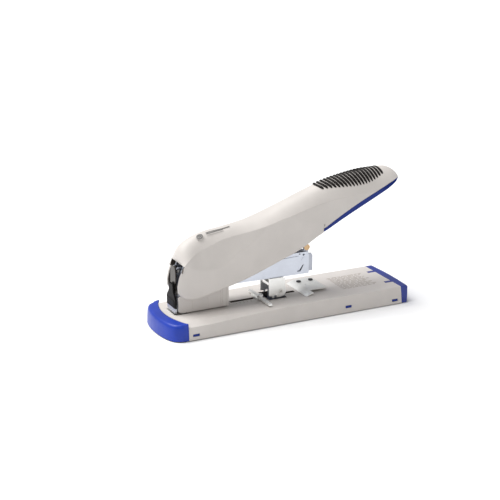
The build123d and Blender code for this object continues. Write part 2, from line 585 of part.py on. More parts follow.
edges = [Spline(*[(x, -40, z) for x, z in EDGE_TOP]),
         Edge.make_line((29, -40, 91.8), (29, -40, 150)),
         Edge.make_line((29, -40, 150), (227.3, -40, 150)),
         Edge.make_line((227.3, -40, 150), (227.3, -40, 135.5)),
         Spline(*[(x, -40, z) for x, z in reversed(REAR)]),
         Spline(*[(x, -40, z) for x, z in reversed(STRIP_EDGE)]),
         Edge.make_line((153.7, -40, 84.2), (153.7, -40, 81.3)),
         Spline(*[(x, -40, z) for x, z in reversed(LOW_EDGE)]),
         Spline(*[(x, -40, z) for x, z in reversed(NOSE_EDGE)])]
side_form = extrude(Face(Wire(edges)), amount=80, dir=(0, 1, 0))
plan = [(-4, -14.0), (0.0, -14.7), (8, -16.05), (30, -16.65), (80, -17.05), (140, -17.6), (200, -17.8),
        (222, -17.3), (232, -16.2), (238.4, -14.0), (242.2, -10.6), (244.3, -6.0), (245.1, 0.0)]
plan_e = Spline(*([(x, y, 10) for x, y in plan] + [(x, -y, 10) for x, y in reversed(plan[:-1])]))
plan_form = extrude(Face(Wire([plan_e, Edge.make_line((-4, 14.0, 10), (-4, -14.0, 10))])), amount=160,
                    dir=(0, 0, 1))
outer = dome(0.0) & side_form & plan_form
plan_in = [(-6, -12.4), (8, -14.0), (30, -14.65), (80, -15.05), (140, -15.6), (200, -15.8), (220, -15.3),
           (230, -14.1), (236.6, -11.8), (240.2, -8.8), (242.0, -4.8), (242.7, 0.0)]
plan_ie = Spline(*([(x, y, 0) for x, y in plan_in] + [(x, -y, 0) for x, y in reversed(plan_in[:-1])]))
plan_inner = extrude(Face(Wire([plan_ie, Edge.make_line((-6, 12.4, 0), (-6, -12.4, 0))])), amount=170,
                     dir=(0, 0, 1))
REAR_IN = poly_xz([(-10, 0), (260, 0), (260, 124.6), (241.5, 125.6), (240.6, 127.6), (236.0, 130.8),
                   (226.0, 133.2), (226.0, 140), (11.0, 140), (11.0, 81.6), (8.4, 79.4), (6.6, 76.4), (5.9, 73.0),
                   (6.3, 70.6), (7.6, 69.2), (-10, 60.0)], -40, 40)
cavity = dome(COVER_WALL) & plan_inner & REAR_IN
cover = outer - cavity
# curved slots of the grip, inside an oval
SLOT_N = 19
SLOT_X0, SLOT_X1 = 153.5, 222.0


def bow_band(i, grow):
    """Curved bar number i seen from above, widened by grow all round."""
    t = i / (SLOT_N - 1)
    x0 = SLOT_X0 + (SLOT_X1 - SLOT_X0) * t
    half = 12.6 - 6.5 * (1 - t) ** 3.5 - 1.8 * t**4 + grow
    bow = 6.6 - 4.0 * t
    w = 1.2 + grow
    ys = [-half + 2 * half * k / 6 for k in range(7)]
    mid = [(x0 + bow * (y / 12.0) ** 2, y) for y in ys]
    pts = [(x - w, y) for x, y in mid] + [(x + w, y) for x, y in reversed(mid)]
    return poly_xy(pts, 112.0, 145.0)


for i in range(SLOT_N):
    cover -= bow_band(i, 0.25)
out("cover_shell", cover)
print("cover", cover.volume, len(cover.solids()))

# rubber pad under the top; its ribs stand up through the slots
pad = (dome(COVER_WALL + 0.1) - dome(COVER_WALL + 1.5)) & (Pos(-0.3, 0, -0.3) * REAR_IN) & box(
    SLOT_X0 - 4.0, SLOT_X1 + 7.0, -13.4, 13.4, 119.0, 140)
rib_zone = dome(-0.6) - dome(COVER_WALL + 0.5)
for i in range(SLOT_N):
    pad += bow_band(i, 0.0) & rib_zone
out("grip_insert", pad)
print("pad", pad.volume, len(pad.solids()))

# blue strip closing the grip from below
under_pts = [(x + 0.2, z - 0.15) for x, z in STRIP_EDGE] + [(242.6, 125.3), (241.6, 124.5)]
under_pts += [(x + 0.2, z) for x, z in reversed(STRIP_LOW)]
under = poly_xz(under_pts, -40, 40)
under &= plan_form & dome(0.0)
under -= poly_xz([(x, z + 1.9) for x, z in under_pts], -13.6, 13.6) & box(158.0, 230.0, -13.6, 13.6, 60, 140)
LOW_TAB = STRIP_LOW
bosses = ((172.0, 99.0), (206.0, 113.0))
for bx, bz in bosses:
    under += pin_z(bx, 0, 3.2, interp(LOW_TAB, bx) + 0.6, bz)
    under -= pin_z(bx, 0, 1.3, 60, bz + 1)
    under -= pin_z(bx, 0, 2.6, 60, interp(LOW_TAB, bx) + 1.6)
out("grip_underplate", under)
us = []
for bx, bz in bosses:
    zb = interp(LOW_TAB, bx)
    sc = pin_z(bx, 0, 2.4, zb - 0.2, zb + 1.5) + pin_z(bx, 0, 1.25, zb + 1.4, bz + 4.0)
    sc -= box(bx - 1.8, bx + 1.8, -0.3, 0.3, zb - 3, zb + 0.4)
    us.append(sc)
out("underplate_screws", *us)

# steel arm inside the cover, an upturned channel
arm = None
aprof = [(8.8, 66.2), (10.4, 63.8), (12.6, 63.2), (40.0, 61.9), (56.0, 61.9), (80.0, 72.0), (120.0, 88.0),
         (160.0, 103.0), (200.0, 112.5), (200.0, 117.5), (160.0, 110.6), (120.0, 98.6), (84.0, 85.6), (50.0, 78.5),
         (22.0, 74.6), (15.5, 72.6), (11.4, 72.2), (9.0, 70.2)]
for s in (-1, 1):
    a, b = sorted((s * 10.3, s * 11.6))
    p = poly_xz(aprof, a, b)
    arm = p if arm is None else arm + p
arm += poly_xz([(84.0, 85.6), (84.0, 84.2), (120.0, 97.2), (160.0, 109.2), (200.0, 116.1), (200.0, 117.5),
                (160.0, 110.6), (120.0, 98.6)], -10.6, 10.6)
arm += poly_xz([(30.0, 75.7), (50.0, 78.5), (50.0, 77.1), (30.0, 74.3)], -10.6, 10.6)
arm -= pin_y(nx, nz, 2.65, -20, 20)
arm -= pin_y(ROLLER[0], ROLLER[1], 2.0, -20, 20)
for bx, bz in bosses:
    arm -= pin_z(bx, 0, 1.3, 60, 140)
out("handle_arm", arm)
rp2 = pin_y(ROLLER[0], ROLLER[1], 2.0, -11.8, 11.8)
for s in (-1, 1):
    a, b = sorted((s * 11.7, s * 12.4))
    rp2 += pin_y(ROLLER[0], ROLLER[1], 2.8, a, b)
out("roller_pin", rp2)
out("press_roller", pin_y(ROLLER[0], ROLLER[1], ROLLER_R, -5.2, 5.2)
    - pin_y(ROLLER[0], ROLLER[1], 2.05, -20, 20))
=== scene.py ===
import bpy, bmesh, math, json
from mathutils import Vector, Matrix


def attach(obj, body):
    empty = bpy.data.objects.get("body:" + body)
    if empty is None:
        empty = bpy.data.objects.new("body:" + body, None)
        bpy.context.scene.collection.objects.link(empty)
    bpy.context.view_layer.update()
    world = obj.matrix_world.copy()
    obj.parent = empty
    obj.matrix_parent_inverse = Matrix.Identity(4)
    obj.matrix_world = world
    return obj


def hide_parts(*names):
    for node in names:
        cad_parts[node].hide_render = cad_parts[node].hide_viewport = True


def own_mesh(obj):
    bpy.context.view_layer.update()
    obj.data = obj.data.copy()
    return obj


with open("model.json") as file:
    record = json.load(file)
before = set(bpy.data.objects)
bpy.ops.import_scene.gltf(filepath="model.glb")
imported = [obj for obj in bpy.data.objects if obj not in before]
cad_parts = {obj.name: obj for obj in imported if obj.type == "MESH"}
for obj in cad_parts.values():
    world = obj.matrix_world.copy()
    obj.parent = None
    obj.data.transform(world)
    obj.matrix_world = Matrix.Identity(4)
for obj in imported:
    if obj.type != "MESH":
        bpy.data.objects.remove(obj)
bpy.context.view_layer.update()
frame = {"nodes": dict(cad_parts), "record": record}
NODES = frame["nodes"]
SX = -112.4          # millimetres, from the working frame to the row frame
MM = 0.001
BODY_OF = {n: b for b, ns in frame["record"]["behaviour"]["bodies"].items() for n in ns}


def V(x, y, z):
    return Vector(((x + SX) * MM, y * MM, z * MM))


def interp(tab, x):
    n = len(tab)
    if x <= tab[0][0]:
        return tab[0][1]
    if x >= tab[-1][0]:
        return tab[-1][1]
    d = [(tab[i + 1][1] - tab[i][1]) / (tab[i + 1][0] - tab[i][0]) for i in range(n - 1)]
    m = [d[0]]
    for i in range(1, n - 1):
        m.append(0.0 if d[i - 1] * d[i] <= 0 else 2 * d[i - 1] * d[i] / (d[i - 1] + d[i]))
    m.append(d[-1])
    for i in range(n - 1):
        if x <= tab[i + 1][0]:
            h = tab[i + 1][0] - tab[i][0]
            t = (x - tab[i][0]) / h
            a, b = tab[i][1], tab[i + 1][1]
            return ((2 * t**3 - 3 * t**2 + 1) * a + (t**3 - 2 * t**2 + t) * h * m[i]
                    + (-2 * t**3 + 3 * t**2) * b + (t**3 - t**2) * h * m[i + 1])


def smooth(a, b, x):
    t = min(1.0, max(0.0, (x - a) / (b - a)))
    return t * t * (3 - 2 * t)


# ------------------------------------------------------------- materials
def new_mat(name):
    m = bpy.data.materials.new(name)
    m.use_nodes = True
    nt = m.node_tree
    bsdf = nt.nodes.get("Principled BSDF")
    return m, nt, bsdf


def add(nt, kind, **kw):
    n = nt.nodes.new(kind)
    for k, v in kw.items():
        if k in ("operation", "blend_type", "data_type", "noise_dimensions", "feature", "wave_type",
                 "bands_direction", "interpolation", "distance"):
            setattr(n, k, v)
        else:
            n.inputs[k.replace("_", " ")].default_value = v
    return n


def tex_coord(nt, scale=(1, 1, 1)):
    tc = nt.nodes.new("ShaderNodeTexCoord")
    mp = nt.nodes.new("ShaderNodeMapping")
    mp.inputs["Scale"].default_value = scale
    nt.links.new(tc.outputs["Object"], mp.inputs["Vector"])
    return mp.outputs["Vector"]


def noise(nt, vec, scale, detail=4.0, rough=0.55):
    n = nt.nodes.new("ShaderNodeTexNoise")
    n.inputs["Scale"].default_value = scale
    n.inputs["Detail"].default_value = detail
    n.inputs["Roughness"].default_value = rough
    nt.links.new(vec, n.inputs["Vector"])
    return n.outputs["Fac"]


def ramp(nt, fac, stops):
    r = nt.nodes.new("ShaderNodeValToRGB")
    e = r.color_ramp.elements
    e[0].position, e[0].color = stops[0][0], (*stops[0][1], 1)
    e[1].position, e[1].color = stops[-1][0], (*stops[-1][1], 1)
    for p, c in stops[1:-1]:
        k = e.new(p)
        k.color = (*c, 1)
    nt.links.new(fac, r.inputs["Fac"])
    return r.outputs["Color"]


def map_range(nt, fac, lo, hi):
    r = nt.nodes.new("ShaderNodeMapRange")
    r.inputs["To Min"].default_value = lo
    r.inputs["To Max"].default_value = hi
    nt.links.new(fac, r.inputs["Value"])
    return r.outputs["Result"]


def bump(nt, bsdf, height, strength, distance):
    b = nt.nodes.new("ShaderNodeBump")
    b.inputs["Strength"].default_value = strength
    b.inputs["Distance"].default_value = distance
    nt.links.new(height, b.inputs["Height"])
    nt.links.new(b.outputs["Normal"], bsdf.inputs["Normal"])


def shade(c, k):
    return tuple(min(1.0, v * k) for v in c)


def plastic(name, col, rough=0.42, grain=0.25, spec=0.5, coat=0.0, grain_scale=2600, var=0.03):
    m, nt, b = new_mat(name)
    v = tex_coord(nt)
    big = noise(nt, v, 38, 3)
    nt.links.new(ramp(nt, big, [(0.35, shade(col, 1 - var)), (0.65, shade(col, 1 + var))]), b.inputs["Base Color"])
    fine = noise(nt, v, grain_scale, 2, 0.6)
    nt.links.new(map_range(nt, noise(nt, v, 120, 4), rough - 0.04, rough + 0.06), b.inputs["Roughness"])
    bump(nt, b, fine, grain, 0.00006)
    b.inputs["Specular IOR Level"].default_value = spec
    if coat:
        b.inputs["Coat Weight"].default_value = coat
        b.inputs["Coat Roughness"].default_value = 0.12
    return m


def metal(name, col, rough=0.3, brush=(1, 40, 40), strength=0.15, var=0.06, metallic=1.0, scale=60):
    m, nt, b = new_mat(name)
    v = tex_coord(nt, brush)
    lines = noise(nt, v, scale, 5, 0.65)
    v2 = tex_coord(nt)
    cloud = noise(nt, v2, 55, 3)
    mix = nt.nodes.new("ShaderNodeMath")
    mix.operation = "MULTIPLY"
    nt.links.new(lines, mix.inputs[0])
    nt.links.new(cloud, mix.inputs[1])
    nt.links.new(ramp(nt, mix.outputs[0], [(0.12, shade(col, 1 - var)), (0.4, shade(col, 1 + var))]),
                 b.inputs["Base Color"])
    nt.links.new(map_range(nt, lines, rough - 0.07, rough + 0.1), b.inputs["Roughness"])
    b.inputs["Metallic"].default_value = metallic
    bump(nt, b, lines, strength, 0.00004)
    return m


GREY = (0.62, 0.583, 0.552)
M = {}
M["grey"] = plastic("warm_grey_plastic", GREY, 0.46, 0.22)
# painted shade: inner faces of the grey shells are drawn near-black brown for the shadow inside them
M["grey_dark"] = plastic("inside_painted_shade", (0.085, 0.07, 0.058), 0.65, 0.25)
M["blue"] = plastic("blue_plastic", (0.012, 0.042, 0.36), 0.36, 0.12, 0.3, 0.08, var=0.08)
# a darker copy of the blue plastic: painted shade for the strip under the grip and the bottom tray, which face away
# from the light
M["blue_painted_shade"] = plastic("blue_strip_painted_shade", (0.006, 0.026, 0.21), 0.4, 0.12, 0.25, 0.0, var=0.08)
# a darker copy of the blue plastic: painted shade for the rear cap, which faces away from the light
M["blue_shaded_rear"] = plastic("blue_rear_cap", (0.010, 0.030, 0.25), 0.4, 0.12, 0.5, 0.1, var=0.08)
M["rubber"] = plastic("black_rubber", (0.010, 0.008, 0.007), 0.6, 0.4, 0.2, grain_scale=1500, var=0.2)
M["black"] = plastic("black_paint", (0.004, 0.003, 0.003), 0.5, 0.2, 0.15, var=0.25)
M["zinc"] = metal("zinc_steel", (0.60, 0.63, 0.70), 0.38, (1, 30, 30), 0.12, 0.07)
M["zinc_dull"] = metal("zinc_dull", (0.46, 0.48, 0.54), 0.42, (1, 30, 30), 0.12, 0.08)
M["bright"] = metal("bright_steel", (0.78, 0.77, 0.74), 0.30, (14, 14, 2), 0.10, 0.07)
M["white_zinc"] = metal("pale_zinc", (0.93, 0.93, 0.91), 0.42, (3, 20, 20), 0.08, 0.05, 0.85)
M["chrome"] = metal("chrome_steel", (0.86, 0.86, 0.86), 0.1, (2, 30, 30), 0.04, 0.04)
M["brass"] = metal("brass_sleeve", (0.55, 0.38, 0.22), 0.32, (20, 2, 20), 0.1, 0.1)
M["dark_steel"] = metal("dark_steel", (0.10, 0.092, 0.085), 0.3, (2, 30, 30), 0.05, 0.1)
M["screw"] = metal("dark_screw", (0.07, 0.07, 0.075), 0.38, (10, 10, 10), 0.12, 0.2)
M["ink"] = plastic("grey_print", (0.16, 0.155, 0.15), 0.5, 0.1, 0.4, var=0.25)
M["deck_mark"] = plastic("moulded_mark", (0.34, 0.29, 0.24), 0.55, 0.2, 0.4, var=0.06)
M["floor"] = plastic("pale_floor", (0.94, 0.94, 0.94), 0.7, 0.05, 0.1, var=0.004)

BY_NODE = {
    "base_housing": "grey", "front_cap": "blue", "rear_cap": "blue_shaded_rear", "bottom_tray": "blue_painted_shade",
    # base_spine takes the dark screw metal as painted shade where it shows through the deck slot
    "rubber_feet": "rubber", "tray_screws": "screw", "base_spine": "screw", "anvil_plate": "bright",
    "anvil_screws": "screw", "hinge_bracket": "zinc", "hinge_pin": "bright", "rear_plate": "white_zinc",
    "rear_plate_screws": "screw", "paper_gauge": "white_zinc", "gauge_knob": "chrome",
    "frame_channel": "zinc", "inner_channel": "zinc_dull", "hinge_legs": "white_zinc", "leg_rivets": "bright",
    "magazine_housing": "grey", "staple_guide": "zinc", "handle_pivot_pin": "bright",
    "pivot_clips": "screw", "lever_pivot_pin": "zinc", "stop_bar": "brass", "stop_sleeve": "brass",
    "head_plate": "black", "staple_rail": "zinc", "staple_strip": "bright", "pusher_rod": "bright",
    "pusher": "zinc", "pusher_spring": "bright", "driver_blade": "dark_steel", "link_pin": "bright",
    "drive_lever": "zinc", "return_spring": "bright", "cover_shell": "grey", "grip_insert": "rubber",
    "grip_underplate": "blue_painted_shade", "underplate_screws": "screw", "handle_arm": "black",
    "roller_pin": "bright", "press_roller": "chrome",
}


def paint(obj, key):
    obj.data.materials.clear()
    obj.data.materials.append(M[key])


def smooth_by_angle(obj, deg=32):
    me = obj.data
    for p in me.polygons:
        p.use_smooth = True
    try:
        me.set_sharp_from_angle(angle=math.radians(deg))
    except Exception:
        pass


def mesh_obj(name, verts, faces, key, body, nodes=(), smooth_deg=None):
    me = bpy.data.meshes.new(name)
    me.from_pydata([tuple(v) for v in verts], [], faces)
    me.validate()
    bm = bmesh.new()
    bm.from_mesh(me)
    bmesh.ops.remove_doubles(bm, verts=bm.verts, dist=1e-7)
    bmesh.ops.recalc_face_normals(bm, faces=bm.faces)
    bm.to_mesh(me)
    bm.free()
    ob = bpy.data.objects.new(name, me)
    bpy.context.scene.collection.objects.link(ob)
    paint(ob, key)
    if smooth_deg is not None:
        smooth_by_angle(ob, smooth_deg)
    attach(ob, body)
    if nodes:
        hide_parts(*nodes)
    return ob


def soften(node, width=0.35, segments=2, key=None, angle=30, dissolve=0.5):
    """A copy of a CAD node with its edges broken by a small round."""
    src = NODES[node]
    me = src.data.copy()
    bm = bmesh.new()
    bm.from_mesh(me)
    bmesh.ops.remove_doubles(bm, verts=bm.verts, dist=2e-6)
    bmesh.ops.dissolve_limit(bm, angle_limit=math.radians(dissolve), verts=bm.verts, edges=bm.edges,
                             delimit={"NORMAL"})
    bm.to_mesh(me)
    bm.free()
    try:
        if me.has_custom_normals:
            me.normals_split_custom_set([(0, 0, 0)] * len(me.loops))
    except Exception:
        pass
    for a in [a for a in me.attributes if a.name in ("custom_normal", "sharp_edge", "sharp_face")]:
        try:
            me.attributes.remove(a)
        except Exception:
            pass
    me.name = node + "_soft"
    ob = bpy.data.objects.new(node + "_soft", me)
    bpy.context.scene.collection.objects.link(ob)
    key = key or BY_NODE[node]
    paint(ob, key)
    smooth_by_angle(ob, angle)
    b = ob.modifiers.new("bevel", "BEVEL")
    b.width = width * MM
    b.segments = segments
    b.limit_method = "ANGLE"
    b.angle_limit = math.radians(angle)
    b.use_clamp_overlap = True
    b.harden_normals = False
    w = ob.modifiers.new("weighted", "WEIGHTED_NORMAL")
    w.keep_sharp = True
    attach(ob, BODY_OF[node])
    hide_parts(node)
    return ob


for n, o in NODES.items():
    paint(o, BY_NODE[n])

# ------------------------------------------------------------- cover shell
TR = [  # lower edge, crease, top line in X, Z
    ((5.8, 66.2), (5.6, 66.5), (5.4, 66.6)),
    ((4.4, 63.2), (6.0, 67.4), (4.6, 68.6)),
    ((2.9, 60.0), (6.8, 68.4), (4.0, 71.2)),
    ((1.4, 56.6), (7.9, 69.5), (3.9, 74.2)),
    ((0.1, 52.0), (9.4, 70.8), (4.6, 77.2)),
    ((-0.9, 47.0), (11.2, 72.2), (6.3, 80.7)),
    ((-0.8, 42.6), (13.2, 73.6), (9.0, 83.8)),
    ((1.0, 38.8), (15.6, 75.1), (13.0, 86.7)),
    ((4.5, 35.2), (18.6, 76.8), (17.8, 89.2)),
    ((9.8, 32.9), (22.8, 78.8), (23.6, 91.6)),
    ((16.8, 32.9), (28.4, 80.9), (30.2, 93.5)),
    ((25.0, 34.2), (36.0, 83.6), (38.7, 94.9)),
    ((36.0, 36.8), (46.0, 86.9), (48.5, 95.8)),
    ((48.0, 39.7), (57.0, 89.0), (59.0, 97.3)),
    ((60.0, 42.6), (67.8, 90.6), (69.0, 98.7)),
    ((72.0, 46.1), (78.0, 92.5), (79.0, 100.4)),
    ((84.0, 50.2), (88.5, 94.8), (89.5, 103.0)),
    ((96.0, 54.6), (99.0, 97.4), (100.0, 106.4)),
    ((108.0, 59.2), (110.0, 100.3), (110.5, 110.2)),
    ((120.0, 63.4), (121.0, 103.0), (121.5, 114.1)),
    ((130.0, 67.8), (131.5, 105.9), (132.0, 117.9)),
    ((138.0, 72.2), (142.0, 108.6), (142.5, 121.6)),
    ((147.0, 77.5), (150.5, 110.5), (150.5, 124.3)),
    ((154.0, 81.4), (157.2, 111.7), (157.0, 126.4)),
    ((154.1, 84.3), (158.8, 112.0), (158.6, 126.9)),
    ((158.5, 87.0), (163.5, 112.7), (163.5, 128.3)),
    ((169.5, 93.5), (174.0, 113.8), (174.0, 130.7)),
    ((181.0, 99.8), (185.0, 114.8), (184.5, 132.6)),
    ((192.5, 105.8), (196.0, 115.5), (195.0, 134.2)),
    ((204.5, 111.4), (207.0, 116.2), (205.5, 135.3)),
    ((216.0, 116.5), (216.5, 117.8), (215.5, 135.9)),
    ((225.5, 120.6), (226.0, 121.5), (224.5, 136.1)),
    ((233.0, 123.5), (233.0, 124.1), (232.0, 135.6)),
    ((238.6, 125.2), (238.6, 125.7), (238.0, 133.3)),
    ((242.6, 125.7), (242.6, 126.1), (242.6, 129.7)),
    ((244.6, 126.1), (244.7, 126.3), (244.8, 126.4)),
]
IDX = list(range(len(TR)))
CUR = [[[(i, TR[i][k][c]) for i in IDX] for c in (0, 1)] for k in range(3)]
HALF = [(-3, 13.8), (-1, 14.5), (1, 15.0), (5, 15.6), (10, 16.0), (30, 16.65), (80, 17.0), (140, 17.55),
        (200, 17.7), (222, 17.2), (232, 16.0), (238.4, 13.7), (242.4, 10.0), (244.3, 6.0), (244.8, 3.5)]
NOSE_X = [(32.9, 9.8), (35.2, 4.5), (38.8, 1.0), (42.6, -0.8), (47, -0.9), (52, 0.1), (56.6, 1.4),
          (60, 2.9), (63.2, 4.4), (66.2, 5.8)]
LEAF = [(5.5, 66.6), (8.2, 66.2), (15.4, 63.7), (26.7, 61.3), (33, 60.6), (46.6, 64.5), (66.8, 76.8), (83.8, 87.5),
        (96, 96.6)]
CREASE = [(c[1][0], c[1][1]) for c in TR]
CREASE = [CREASE[0]] + [c for a, c in zip(CREASE, CREASE[1:]) if c[0] > a[0] + 0.1]


def leaf_depth(x):
    return 4.2 * smooth(7, 26, x) * (1 - smooth(58, 96, x))


def side_y(x, z):
    """Half width of the cover at a point of its side."""
    y = interp(HALF, x)
    if z < 66.2 and x < 26:
        d = x - interp(NOSE_X, z)
        y -= 1.2 * max(0.0, 1 - d / 11.0) ** 2.0
    if x < 97:
        lo, hi = interp(LEAF, x), interp(CREASE, x)
        if z > lo and hi > lo + 0.5:
            t = min(1.0, (z - lo) / (hi - lo))
            y -= leaf_depth(x) * t ** 0.72
    return y


def cover_point(u, v):
    """u along the cover in rows of TR, v from -1 at one lower edge to 1 at the other."""
    s = -1 if v < 0 else 1
    a = 1 - abs(v)               # 0 at the lower edge, 1 on the middle line
    B = [interp(CUR[0][c], u) for c in (0, 1)]
    C = [interp(CUR[1][c], u) for c in (0, 1)]
    T = [interp(CUR[2][c], u) for c in (0, 1)]
    if a <= 0.5:
        t = a / 0.5
        x = B[0] + (C[0] - B[0]) * t
        z = B[1] + (C[1] - B[1]) * t
        return x, s * side_y(x, z), z
    t = (a - 0.5) / 0.5
    ang = t * math.pi / 2
    q = math.cos(ang)
    n = 2.0 + 0.3 * smooth(100, 160, C[0])
    k = 1 - q ** n
    x = C[0] + (T[0] - C[0]) * k
    z = C[1] + (T[1] - C[1]) * k
    w = side_y(C[0], C[1] - 0.01) if C[0] < 97 else interp(HALF, C[0])
    w2 = w + (interp(HALF, x) - interp(HALF, C[0])) * 0.6
    return x, s * max(0.0, min(w, w2) if C[0] < 12 else w) * q, z


def cover_grid(nu, nv, u0=0.0, u1=len(TR) - 1.0):
    pts = []
    for i in range(nu + 1):
        u = u0 + (u1 - u0) * i / nu
        pts.append([cover_point(u, -1 + 2 * j / nv) for j in range(nv + 1)])
    return pts


NU, NV = 330, 120
grid = cover_grid(NU, NV)
verts, faces = [], []
for row in grid:
    for x, y, z in row:
        verts.append(V(x, y, z))
for i in range(NU):
    for j in range(NV):
        a = i * (NV + 1) + j
        faces.append((a, a + 1, a + NV + 2, a + NV + 1))
tip = len(verts)
verts.append(V(244.86, 0, 126.25))
base = NU * (NV + 1)
for j in range(NV):
    faces.append((base + j, base + j + 1, tip))
cover = mesh_obj("cover_visual", verts, faces, "grey", "handle", ["cover_shell"], 38)
# normals point outwards
me = cover.data
top_face = max(me.polygons, key=lambda p: p.center.z)
if top_face.normal.z < 0:
    me.flip_normals()
sol = cover.modifiers.new("wall", "SOLIDIFY")
sol.thickness = 2.0 * MM
sol.offset = -1
sol.use_rim = True
sol.use_even_offset = False
# the inner faces of the cover wall take the painted shade material
cover.data.materials.append(M["grey_dark"])
sol.material_offset = 1
sol.material_offset_rim = 0
thin = cover.vertex_groups.new(name="wall")
for v in cover.data.vertices:
    x, z = v.co.x / MM - SX, v.co.z / MM
    d = math.hypot(x - 5.6, z - 66.5)
    wall = 0.12 + 0.88 * smooth(0.5, 9.0, d) if x < 14 else 1.0
    if 148.0 < x < 162.0 and z < 92.0:
        wall = min(wall, 0.04 + 0.96 * smooth(3.5, 9.0, math.hypot(x - 154.0, z - 82.8)))
    thin.add([v.index], wall, "REPLACE")
sol.vertex_group = "wall"

# ------------------------------------------------------------- grip ribs
RIBS = 19


def surf(x, y):
    """Point and normal of the cover's crown near the middle, for x behind 130."""
    def at(x, y):
        lo, hi = 7.0, len(TR) - 1.001
        for _ in range(26):
            mid = (lo + hi) / 2
            T = [interp(CUR[2][c], mid) for c in (0, 1)]
            C = [interp(CUR[1][c], mid) for c in (0, 1)]
            w = interp(HALF, C[0])
            q = min(1.0, abs(y) / w)
            k = 1 - q ** 2.3
            px = C[0] + (T[0] - C[0]) * k
            if px < x:
                lo = mid
            else:
                hi = mid
        return Vector((x, y, C[1] + (T[1] - C[1]) * k))
    p = at(x, y)
    e = 0.4
    dx, dy = at(x + e, y) - at(x - e, y), at(x, y + e) - at(x, y - e)
    n = dx.cross(dy).normalized()
    return p, n if n.z > 0 else -n


verts, faces = [], []
for r in range(RIBS):
    t = r / (RIBS - 1)
    x0 = 153.5 + 68.5 * t
    half = 14.9 - 5.4 * (1 - t) ** 3 - 4.1 * t**4
    bow = 6.6 - 4.0 * t
    wid = 1.42
    crown = surf(x0, 0.0)[0][2]
    rise = max(1.0, min(2.3, (136.5 - crown) / 0.55))
    n = 22
    prof = [(-wid, -0.8), (-wid, 0.2), (-wid * 0.62, 0.45), (0, 0.53), (wid * 0.62, 0.45), (wid, 0.2), (wid, -0.8)]
    start = len(verts)
    for i in range(n + 1):
        s = -1 + 2 * i / n
        y = half * s
        x = x0 + bow * (y / 12.0) ** 2
        p, nn = surf(x, y)
        tan = Vector((2 * bow * y / 144.0, 1, 0)).normalized()
        side = tan.cross(nn).normalized()
        up = nn
        end = min(1.0, (1 - abs(s)) * 7 + 0.25)
        for a, b in prof:
            q = p + side * (a * end ** 0.5) + up * (b * (end * rise if b > 0 else 1))
            verts.append(V(*q))
    m = len(prof)
    for i in range(n):
        for j in range(m - 1):
            a = start + i * m + j
            faces.append((a, a + 1, a + m + 1, a + m))
    faces.append(tuple(start + j for j in range(m)))
    faces.append(tuple(start + n * m + j for j in reversed(range(m))))
ribs = mesh_obj("grip_ribs", verts, faces, "rubber", "handle", ["grip_insert"], 50)

# ------------------------------------------------------------- front cap
ARC_R, ARC_CX = 74.0, 64.5
CAP = [(0, 38.0), (-6.8, 37.3), (-12.9, 33.9), (-16.6, 27.3), (-18.8, 19.4), (-20.2, 10.0), (-20.6, 4.0)]
full = CAP + [(-20.7, 0.0)] + [(x, -y) for x, y in reversed(CAP)]
cum = [0.0]
for a, b in zip(full, full[1:]):
    cum.append(cum[-1] + math.hypot(b[0] - a[0], b[1] - a[1]))


def catmull(pts, t, ts):
    for i in range(len(ts) - 1):
        if t <= ts[i + 1] or i == len(ts) - 2:
            p0 = pts[max(0, i - 1)]; p1 = pts[i]; p2 = pts[i + 1]; p3 = pts[min(len(pts) - 1, i + 2)]
            h = ts[i + 1] - ts[i]
            k = (t - ts[i]) / h
            m1 = [(p2[c] - p0[c]) / (ts[i + 1] - ts[max(0, i - 1)]) * h for c in (0, 1)]
            m2 = [(p3[c] - p1[c]) / (ts[min(len(ts) - 1, i + 2)] - ts[i]) * h for c in (0, 1)]
            return [(2 * k**3 - 3 * k**2 + 1) * p1[c] + (k**3 - 2 * k**2 + k) * m1[c]
                    + (-2 * k**3 + 3 * k**2) * p2[c] + (k**3 - k**2) * m2[c] for c in (0, 1)]


NS = 96
outer_pts = [catmull(full, cum[-1] * i / NS, cum) for i in range(NS + 1)]
verts, faces = [], []
PROF = [(0.0, 0.9), (0.15, 5.0), (0.4, 10.0), (0.7, 13.2), (1.1, 14.7), (1.75, 15.8), (2.6, 16.5), (3.6, 16.85)]
for i, (ox, oy) in enumerate(outer_pts):
    # matching point on the inner arc
    iy = oy * (36.9 / 38.0)
    ix = ARC_CX - math.sqrt(ARC_R**2 - iy * iy) - 0.25
    ix = min(ix, -0.25)
    if abs(oy) > 36.0:
        ix = -0.25
    dx, dy = ix - ox, iy - oy
    # inward direction of the outline
    j0, j1 = outer_pts[max(0, i - 1)], outer_pts[min(NS, i + 1)]
    tx, ty = j1[0] - j0[0], j1[1] - j0[1]
    L = math.hypot(tx, ty)
    nx_, ny_ = -ty / L, tx / L
    if nx_ * (10 - ox) + ny_ * (0 - oy) < 0:
        nx_, ny_ = -nx_, -ny_
    room = max(0.0, dx * nx_ + dy * ny_)
    for off, z in PROF:
        o = min(off, room * 0.8)
        verts.append(V(min(ox + nx_ * o, -0.22), oy + ny_ * o, z))
    band = [(0.35, 17.1), (0.7, 17.35), (0.96, 17.6), (1.0, 17.45)]
    o = min(3.6, room * 0.8)
    px, py = ox + nx_ * o, oy + ny_ * o
    for f, z in band:
        verts.append(V(min(px + (ix - px) * f, -0.22), py + (iy - py) * f, z))
    verts.append(V(min(ix, -0.22), iy, 14.0))
m = len(PROF) + 5
for i in range(NS):
    for j in range(m - 1):
        a = i * m + j
        faces.append((a, a + 1, a + m + 1, a + m))
faces.append(tuple(range(m)))
faces.append(tuple(NS * m + j for j in reversed(range(m))))
cap = mesh_obj("front_cap_visual", verts, faces, "blue", "base", ["front_cap"], 40)

